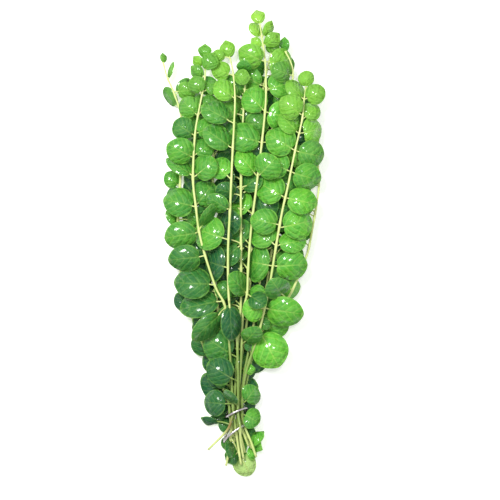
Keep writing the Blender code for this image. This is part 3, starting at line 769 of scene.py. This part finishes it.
class Board:
    """The node board of one material."""

    def __init__(self, name):
        self.material = bpy.data.materials.new(name)
        self.material.use_nodes = True
        self.nodes = self.material.node_tree.nodes
        self.links = self.material.node_tree.links
        self.shader = self.nodes["Principled BSDF"]

    def node(self, kind, settings, values, output=0):
        made = self.nodes.new(kind)
        for setting, value in settings.items():
            setattr(made, setting, value)
        self.fill(made, values)
        return Socket(self, made.outputs[output])

    def fill(self, made, values):
        for key, value in values.items():
            if isinstance(value, Socket):
                self.links.new(value.socket, made.inputs[key])
            elif isinstance(value, tuple) and len(value) == 3 and made.inputs[key].type == "RGBA":
                made.inputs[key].default_value = (*value, 1)
            else:
                made.inputs[key].default_value = value

    def number(self, value):
        made = self.nodes.new("ShaderNodeValue")
        made.outputs[0].default_value = value
        return Socket(self, made.outputs[0])

    def attribute(self, name):
        """The three numbers of a piece's own attribute."""
        vector = self.node("ShaderNodeAttribute", {"attribute_name": name}, {}, "Vector")
        split = self.node("ShaderNodeSeparateXYZ", {}, {0: vector}).socket.node
        return [Socket(self, split.outputs[k]) for k in range(3)]

    def place(self, scale=(1, 1, 1)):
        whole = self.node("ShaderNodeTexCoord", {}, {}, "Object")
        return self.node("ShaderNodeMapping", {}, {"Vector": whole, "Scale": scale})

    def noise(self, scale, detail=2.0, stretch=(1, 1, 1)):
        return self.node("ShaderNodeTexNoise", {},
                         {"Vector": self.place(stretch), "Scale": scale, "Detail": detail}, "Fac")

    def mix(self, share, first, second):
        return self.node("ShaderNodeMix", {"data_type": "RGBA"},
                         {"Factor": share, 6: first, 7: second}, 2)

    def bump(self, height, distance):
        return self.node("ShaderNodeBump", {},
                         {"Height": height, "Distance": distance, "Strength": 1.0})

    def finish(self, **values):
        self.fill(self.shader, {name.replace("_", " "): value for name, value in values.items()})
        return self.material


MADE = {}


def once(maker):
    """A material that several pieces share is made once."""
    def shared():
        if maker.__name__ not in MADE:
            MADE[maker.__name__] = maker()
        return MADE[maker.__name__]
    return shared


@once
def leaf_green():
    """Green by tone and age, pale veins, lighter patches and painted rim light; folded and wet in
    places.
    """
    old_deep, old_light = (0.002, 0.08, 0.024), (0.078, 0.395, 0.025)
    young_deep, young_light = (0.06, 0.32, 0.02), (0.35, 0.64, 0.06)
    # The rim colour is painted light along the leaf's edge.
    patch_light, painted_rim_light = (0.2, 0.56, 0.04), (0.26, 0.58, 0.07)
    vein_pale, underside_pale = (0.42, 0.66, 0.12), (0.45, 0.66, 0.2)
    board = Board("leaf_green")
    s, t, under = board.attribute("leaf_place")
    tone, age, pale = board.attribute("leaf_look")
    drift = board.noise(420.0) - 0.5
    off = abs(t)
    phase = (s - VEIN_LEAN * off - VEIN_ARCH * off * off + drift * 0.2) * SIDE_VEINS
    gap = phase.wave(1.0)
    side_vein = (1 - gap * 3.4).clamped() * (1.1 - 0.5 * off).clamped()
    rib = (1 - off / (0.065 - 0.04 * s)).clamped()
    vein = rib.larger(side_vein * 0.7)
    patches = (board.noise(190.0, 3.0) * 2.4 - 0.7).clamped()
    # A thin lighter band along the rim: painted light on the leaf's edge.
    painted_rim_mask = ((s * s + t * t) ** 0.5 * 9 - 8).clamped()
    green = board.mix(age, board.mix(tone, young_deep, young_light),
                      board.mix(tone, old_deep, old_light))
    green = board.mix(patches * (0.05 + tone * 0.5), green, patch_light)
    green = board.mix(vein * (0.17 + tone * 0.33), green, vein_pale)
    green = board.mix(painted_rim_mask * 0.3, green, painted_rim_light)
    green = board.mix(pale.larger(under) * 0.85, green, underside_pale)
    folds = gap * ((board.noise(300.0) - 0.35) * 3).clamped()
    height = (folds * 0.45 + board.noise(520.0) * 1.5 + board.noise(1300.0, 3.0) * 0.35
              - rib * 0.2)
    wet = ((board.noise(240.0) - 0.38) * 5).clamped() * (1 - under)
    return board.finish(Base_Color=green, Roughness=0.6, Normal=board.bump(height, 0.6 * MM),
                        Specular_IOR_Level=0.3, Coat_Weight=wet * 0.9, Coat_Roughness=0.11)


@once
def stem_green():
    """Pale streaked green, painted shade between the lower leaves and on the sides, brown where
    bruised.
    """
    straw, pale_straw = (0.5, 0.62, 0.17), (0.8, 0.84, 0.38)
    patch_green, painted_shade_green = (0.38, 0.55, 0.1), (0.14, 0.25, 0.035)
    # The side green is painted shade for the stem's flanks.
    painted_side_shade, bruise_brown = (0.24, 0.4, 0.06), (0.25, 0.11, 0.03)
    board = Board("stem_green")
    bruise, facing_up, _ = board.attribute("tube_look")
    along_bunch = board.node("ShaderNodeSeparateXYZ", {}, {0: board.place()}, 1)
    streak = board.noise(900.0, 3.0, (1, 0.06, 1))
    patches = (board.noise(110.0) * 2 - 0.75).clamped()
    # Painted shade: the stems are deeper green from 40 to 104 mm below the middle of the bunch.
    painted_shade = ((along_bunch + 0.04) * -50).clamped() * ((along_bunch + 0.104) * 150).clamped()
    green = board.mix(streak, straw, pale_straw)
    green = board.mix(patches * 0.5, green, patch_green)
    green = board.mix(painted_shade * 0.85, green, painted_shade_green)
    # Painted shade: the stem is darker green on its sides, away from the light above.
    green = board.mix((1 - facing_up).clamped() * 0.6, green, painted_side_shade)
    green = board.mix(bruise * 0.8, green, bruise_brown)
    height = streak * 0.6 + board.noise(1500.0) * 0.4
    return board.finish(Base_Color=green, Roughness=0.36 + streak * 0.15,
                        Normal=board.bump(height, 0.12 * MM), Coat_Weight=0.2, Coat_Roughness=0.15)


def bright_wire():
    """Metal with a little wear, with painted shade darkening the flanks of the wire."""
    worn, bright, painted_flank_shade = (0.55, 0.5, 0.52), (0.95, 0.9, 0.92), (0.1, 0.075, 0.09)
    board = Board("bright_wire")
    wear = board.noise(1400.0, 4.0)
    _, facing_up, _ = board.attribute("tube_look")
    colour = board.mix(wear, worn, bright)
    # Painted shade: the wire darkens on its flanks, away from its top.
    colour = board.mix((1.25 - facing_up * 1.5).clamped(), colour, painted_flank_shade)
    return board.finish(Base_Color=colour, Roughness=0.18 + wear * 0.2, Metallic=1.0,
                        Normal=board.bump(wear, 0.05 * MM))


def pale_floor():
    """Nearly white and faintly lit from within, so that it stays as pale as in the photo."""
    board = Board("pale_floor")
    speck = board.noise(300.0)
    return board.finish(Base_Color=board.mix(speck, (0.88, 0.88, 0.88), (0.9, 0.9, 0.9)),
                        Roughness=0.6, Emission_Color=(1, 1, 1), Emission_Strength=0.32)


def lay_low(leaf, height, lean_along=0.0, lean_across=0.0):
    """Lay a leaf flat or leaning, its base at a height over the table."""
    leaf.dome = 0
    leaf.pitch = lean_along
    leaf.roll = lean_across
    fall = leaf.joint.z - height
    leaf.drop = -math.atan(fall / max(leaf.reach - leaf.along / 2, LEAST_STALK))
    leaf.lay()


def inside(x, y, half):
    """True where a leaf behind the others stays within the bunch's outline."""
    for (low_y, low_left, low_right), (high_y, high_left, high_right) in zip(REACH, REACH[1:]):
        if low_y <= y <= high_y:
            share = (y - low_y) / (high_y - low_y)
            left = low_left + (high_left - low_left) * share
            right = low_right + (high_right - low_right) * share
            return left + half < x < right - half
    return False


class Bunch:
    """The stems, the wire and every leaf placed so far."""

    def __init__(self):
        self.lines = {name: smooth_line(sprig["stem"], 1) for name, sprig in SPRIGS.items()}
        self.stems = {}
        for name, line in self.lines.items():
            shares = [stem_share(line, place) for place in line]
            self.stems[name] = mesh_block(trial_tube(name, line, STEM_RADIUS, shares, 1))
        shares = [1] * (WIRE_STEPS + 1)
        self.wire = mesh_block(trial_tube("tie", wire_line(WIRE_STEPS), WIRE_RADIUS, shares, 1))
        self.leaves = {name: [] for name in SPRIGS}
        self.blocks = {name: [] for name in SPRIGS}
        self.blades = {name: [self.stems[name]] for name in SPRIGS}

    def fits(self, name, leaf, turns):
        others = [self.wire]
        others += [stem for other, stem in self.stems.items() if other != name]
        others += [block for other in self.blocks if other != name for block in self.blocks[other]]
        return settle(leaf, others, self.blades[name], turns)

    def add(self, name, leaf):
        self.leaves[name].append(leaf)
        self.blocks[name].append(Block(leaf_mesh([leaf])))
        self.blades[name].append(Block(leaf_mesh([leaf], 0, False)))

    def seen_leaf(self, name, row):
        dice = random.Random(f"{SEED} {name} {row}")
        return Leaf(self.lines[name], row, name in FRONT, dice)

    def add_seen(self, turns):
        """The leaves that the solids have, placed as they are there."""
        name, *row = CUT_END_LEAF
        leaf = self.seen_leaf(name, tuple(row))
        leaf.on_table = True
        lay_low(leaf, BLADE_THICK)
        self.add(name, leaf)
        rows = [(name, row) for name in SPRIGS for row in SPRIGS[name]["leaves"]]
        for name, row in [(CRUMPLED_LEAF[0], CRUMPLED_LEAF[1:])] + rows:
            leaf = self.seen_leaf(name, row)
            if self.fits(name, leaf, turns):
                self.add(name, leaf)

    def fill(self, turns):
        """More leaves on the sprigs behind, wherever there is room for them."""
        turns = [turn for turn in turns if abs(turn[0]) < FILL_LIFT
                 and max(abs(turn[1]), abs(turn[2])) < FILL_TILT][::FILL_EVERY]
        for name in BACK:
            line = self.lines[name]
            side = 1
            for y in FILL_LINES:
                side = -side
                if line[-1].y < (MIDDLE_Y - y) * SQUARE + LEAFLESS_TIP:
                    continue
                dice = random.Random(f"fill {name} {y}")
                root, _ = joint_at(line, y)
                x = MIDDLE_X + root.x / SQUARE + side * dice.uniform(*FILL_AWAY)
                size = FILL_SIZE * dice.uniform(*FILL_SHARE)
                row = (y, x, y - dice.uniform(*FILL_UP), size, size)
                leaf = Leaf(line, row, False, dice)
                if inside(x, y, size / 2) and self.fits(name, leaf, turns):
                    self.add(name, leaf)

    def add_limp(self):
        for name, *row, height, along, across, tone in LIMP_LEAVES:
            leaf = Leaf(self.lines[name], row, False, random.Random(f"limp {name} {row}"))
            lay_low(leaf, height * MM, math.radians(along), math.radians(across))
            leaf.tone = tone
            self.leaves[name].append(leaf)

    def bed(self):
        """Flat leaves under all the others, which rest on the table or close above it."""
        for name in BACK:
            line = self.lines[name]
            for y in BED_LINES:
                if line[-1].y < (MIDDLE_Y - y) * SQUARE + LEAFLESS_TIP:
                    continue
                root, _ = joint_at(line, y)
                for side in (-1, 1):
                    dice = random.Random(f"bed {name} {y} {side}")
                    x = MIDDLE_X + root.x / SQUARE + side * dice.uniform(*BED_AWAY)
                    middle_y = y - dice.uniform(*BED_UP)
                    size = BED_SIZE * dice.uniform(*BED_SHARE)
                    leaf = Leaf(line, (y, x, middle_y, size, size), False, dice)
                    lay_low(leaf, dice.uniform(*BED_HEIGHT))
                    x = MIDDLE_X + leaf.middle.x / SQUARE
                    if inside(x, MIDDLE_Y - leaf.middle.y / SQUARE, BED_SIZE / 2):
                        leaf.in_bed = True
                        self.leaves[name].append(leaf)


def dress_leaf(name, leaf, line, count):
    """A leaf's own colour, fold and outline, and the waves of its rim."""
    dice = random.Random(f"look {name} {count}")
    tone = TONES[name] + dice.uniform(-TONE_PLAY, TONE_PLAY)
    age = min(1.0, YOUNGEST + (line[-1] - leaf.joint).length / YOUNG_LENGTH)
    if name in SHADES:
        start, end, change = SHADES[name]
        y = MIDDLE_Y - leaf.joint.y / SQUARE
        rise = min(1.0, max(0.0, (y - start) / SHADE_RISE))
        tone += change * rise * min(1.0, max(0.0, 1 - (y - end) / SHADE_FALL))
    # Leaves in the bed get painted shade, for lying under all the others.
    if leaf.in_bed:
        tone += BED_PAINTED_SHADE
    if leaf.tone is not None:
        tone = leaf.tone
    leaf.look = (min(1.0, max(0.0, tone)), age, 1 if leaf.on_table else 0)
    leaf.dome *= dice.uniform(*FLATTER)
    leaf.waves = [(waves, dice.uniform(*RIM_WAVE_SHARE) * RIM_WAVE / waves,
                   dice.uniform(0, 2 * math.pi))
                  for waves in RIM_WAVES]
    leaf.fold = dice.uniform(*FOLD)
    leaf.taper = dice.uniform(*GROWN_TAPER)
    leaf.point = GROWN_POINT
    if max(leaf.across, leaf.along) < SMALL_LEAF * SQUARE:
        leaf.across *= TIP_LEAF_GAIN
        leaf.along *= TIP_LEAF_GAIN
        leaf.taper = TIP_TAPER
        leaf.point = TIP_POINT
        leaf.fold = dice.uniform(*TIP_FOLD)


def grow_bunch():
    bunch = Bunch()
    turns = tilts()
    bunch.add_seen(turns)
    bunch.fill(turns)
    bunch.add_limp()
    bunch.bed()
    return bunch


for name, leaves in grow_bunch().leaves.items():
    fine_line = smooth_line(SPRIGS[name]["stem"], FINE_PARTS)
    for count, leaf in enumerate(leaves):
        dress_leaf(name, leaf, fine_line, count)
    sprig = sprig_piece(name, fine_line, leaves)
    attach(sprig, "root")
    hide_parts(name)


def tie_wire_piece():
    bm = bmesh.new()
    bm.verts.layers.float_vector.new("tube_look")
    line = wire_line(FINE_WIRE_STEPS)
    rings = len(line)
    add_tube(bm, line, [FINE_WIRE] * rings, FINE_WIRE_SIDES, [0] * rings, 0)
    bmesh.ops.recalc_face_normals(bm, faces=bm.faces)
    return piece_from(bm, "tie_wire_fine", [bright_wire()])


tie_wire = tie_wire_piece()
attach(tie_wire, "root")
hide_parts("tie_wire")

FLOOR_RADIUS = 4
FLOOR_SIDES = 64
FLOOR_DROP = 0.2 * MM
floor_bm = bmesh.new()
bmesh.ops.create_circle(floor_bm, cap_ends=True, segments=FLOOR_SIDES, radius=FLOOR_RADIUS,
                        matrix=Matrix.Translation((0, 0, -FLOOR_DROP)))
floor = piece_from(floor_bm, "floor", [pale_floor()])


def add_light(name, place, size, power):
    lamp = bpy.data.lights.new(name, "AREA")
    lamp.size = size
    lamp.energy = power
    holder = bpy.data.objects.new(name, lamp)
    holder.location = place
    holder.rotation_euler = (-Vector(place)).to_track_quat("-Z", "Y").to_euler()
    bpy.context.scene.collection.objects.link(holder)


add_light("key_light", (-0.36, 0.42, 1.05), size=0.3, power=12)
add_light("top_light", (0.12, 0.16, 1.15), size=0.14, power=3)

SKY_STRENGTH = 0.62
world = bpy.data.worlds.new("studio_white")
world.use_nodes = True
world.node_tree.nodes["Background"].inputs["Color"].default_value = (1, 1, 1, 1)
world.node_tree.nodes["Background"].inputs["Strength"].default_value = SKY_STRENGTH
bpy.context.scene.world = world
bpy.context.scene.view_settings.view_transform = "Standard"

# The camera looks straight down and takes in the photo's square of 500 grid squares.
CAMERA_HEIGHT = 3.0
PHOTO_SIDE = 500
MIDDLE_HEIGHT = 8 * MM
camera = bpy.data.cameras.new("camera")
camera.lens = camera.sensor_width * (CAMERA_HEIGHT - MIDDLE_HEIGHT) / (PHOTO_SIDE * SQUARE)
camera.dof.use_dof = False
camera_object = bpy.data.objects.new("camera", camera)
camera_object.location = spot(PHOTO_SIDE / 2, PHOTO_SIDE / 2)
camera_object.location.z = CAMERA_HEIGHT
bpy.context.scene.collection.objects.link(camera_object)
bpy.context.scene.camera = camera_object
